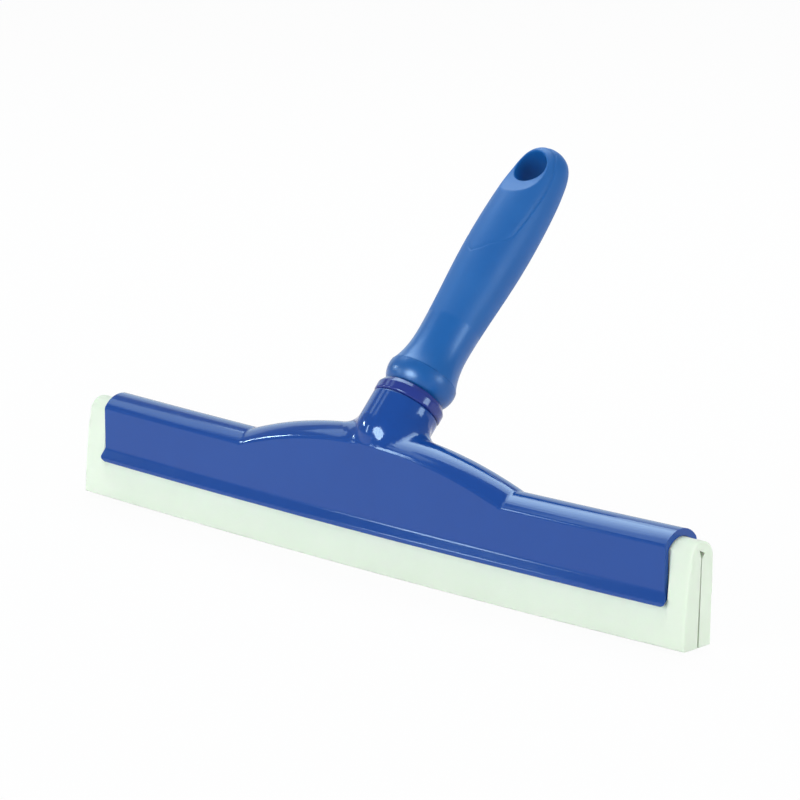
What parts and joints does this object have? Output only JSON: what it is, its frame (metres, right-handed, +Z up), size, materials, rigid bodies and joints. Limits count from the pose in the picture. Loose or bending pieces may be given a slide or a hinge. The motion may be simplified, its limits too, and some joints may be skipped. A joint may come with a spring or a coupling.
{
  "type": "hand squeegee",
  "caption": "Hand squeegee: a moulded plastic head grips a folded foam blade in its flared channel, and a leaning grip handle with a hanging hole screws into its socket.",
  "frame": {"origin": "middle of the blade's wiping edge, on the mid-plane of the channel", "axes": "+X along the blade, +Y to the back, where the handle leans, +Z up from the wiping edge"},
  "size_m": [0.4, 0.1429, 0.1904],
  "materials": {
    "head_plastic": "gloss",
    "ring_plastic": "gloss",
    "handle_plastic": "satin",
    "grip_skin": "satin",
    "blade_foam": "matte"
  },
  "bodies": {
    "head": {"head_frame": "head_plastic"},
    "blade": {"foam_blade": "blade_foam"},
    "collar": {"collar_ring": "ring_plastic"},
    "handle": {"handle_core": "handle_plastic", "soft_grip": "grip_skin"}
  },
  "joints": [
    {"name": "blade_slide", "type": "slide", "parent": "head", "child": "blade", "axis": [1, 0, 0], "range_m": [-0.36, 0.36]},
    {"name": "collar_slide", "type": "slide", "parent": "head", "child": "collar", "axis": [0, 0.6909, 0.723], "range_m": [0, 0.0168]},
    {"name": "handle_screw", "type": "hinge", "parent": "collar", "child": "handle", "pos_m": [0, 0.01727, 0.07547], "axis": [0, 0.6909, 0.723], "range_deg": [0, 1440]}
  ],
  "couplings": [
    {"joint": "collar_slide", "follows": "handle_screw", "m_per_rad": 0.00066845}
  ]
}
